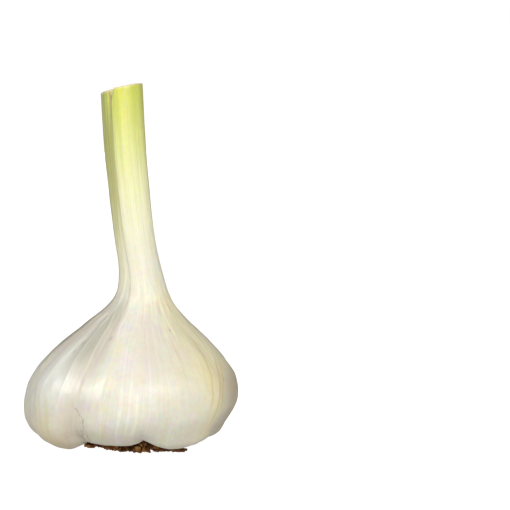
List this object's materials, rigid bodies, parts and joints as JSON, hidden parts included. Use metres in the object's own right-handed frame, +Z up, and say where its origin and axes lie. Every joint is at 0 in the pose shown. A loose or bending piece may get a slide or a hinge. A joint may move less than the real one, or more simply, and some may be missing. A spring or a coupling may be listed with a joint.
{
  "type": "garlic bulb",
  "caption": "Whole garlic bulb standing on its trimmed roots, with swelling cloves under a papery ribbed skin and a long neck cut off at the top.",
  "frame": {"origin": "centre of the small flat face under the root plate, on which the bulb stands", "axes": "+Z up through the neck, -Y towards the front with the neck's free leaf edge, +X to its right"},
  "size_m": [0.0605, 0.0615, 0.102],
  "materials": {
    "skin": "satin",
    "roots": "matte"
  },
  "bodies": {
    "root": {"bulb": "skin", "root_crown": "roots"}
  },
  "joints": []
}
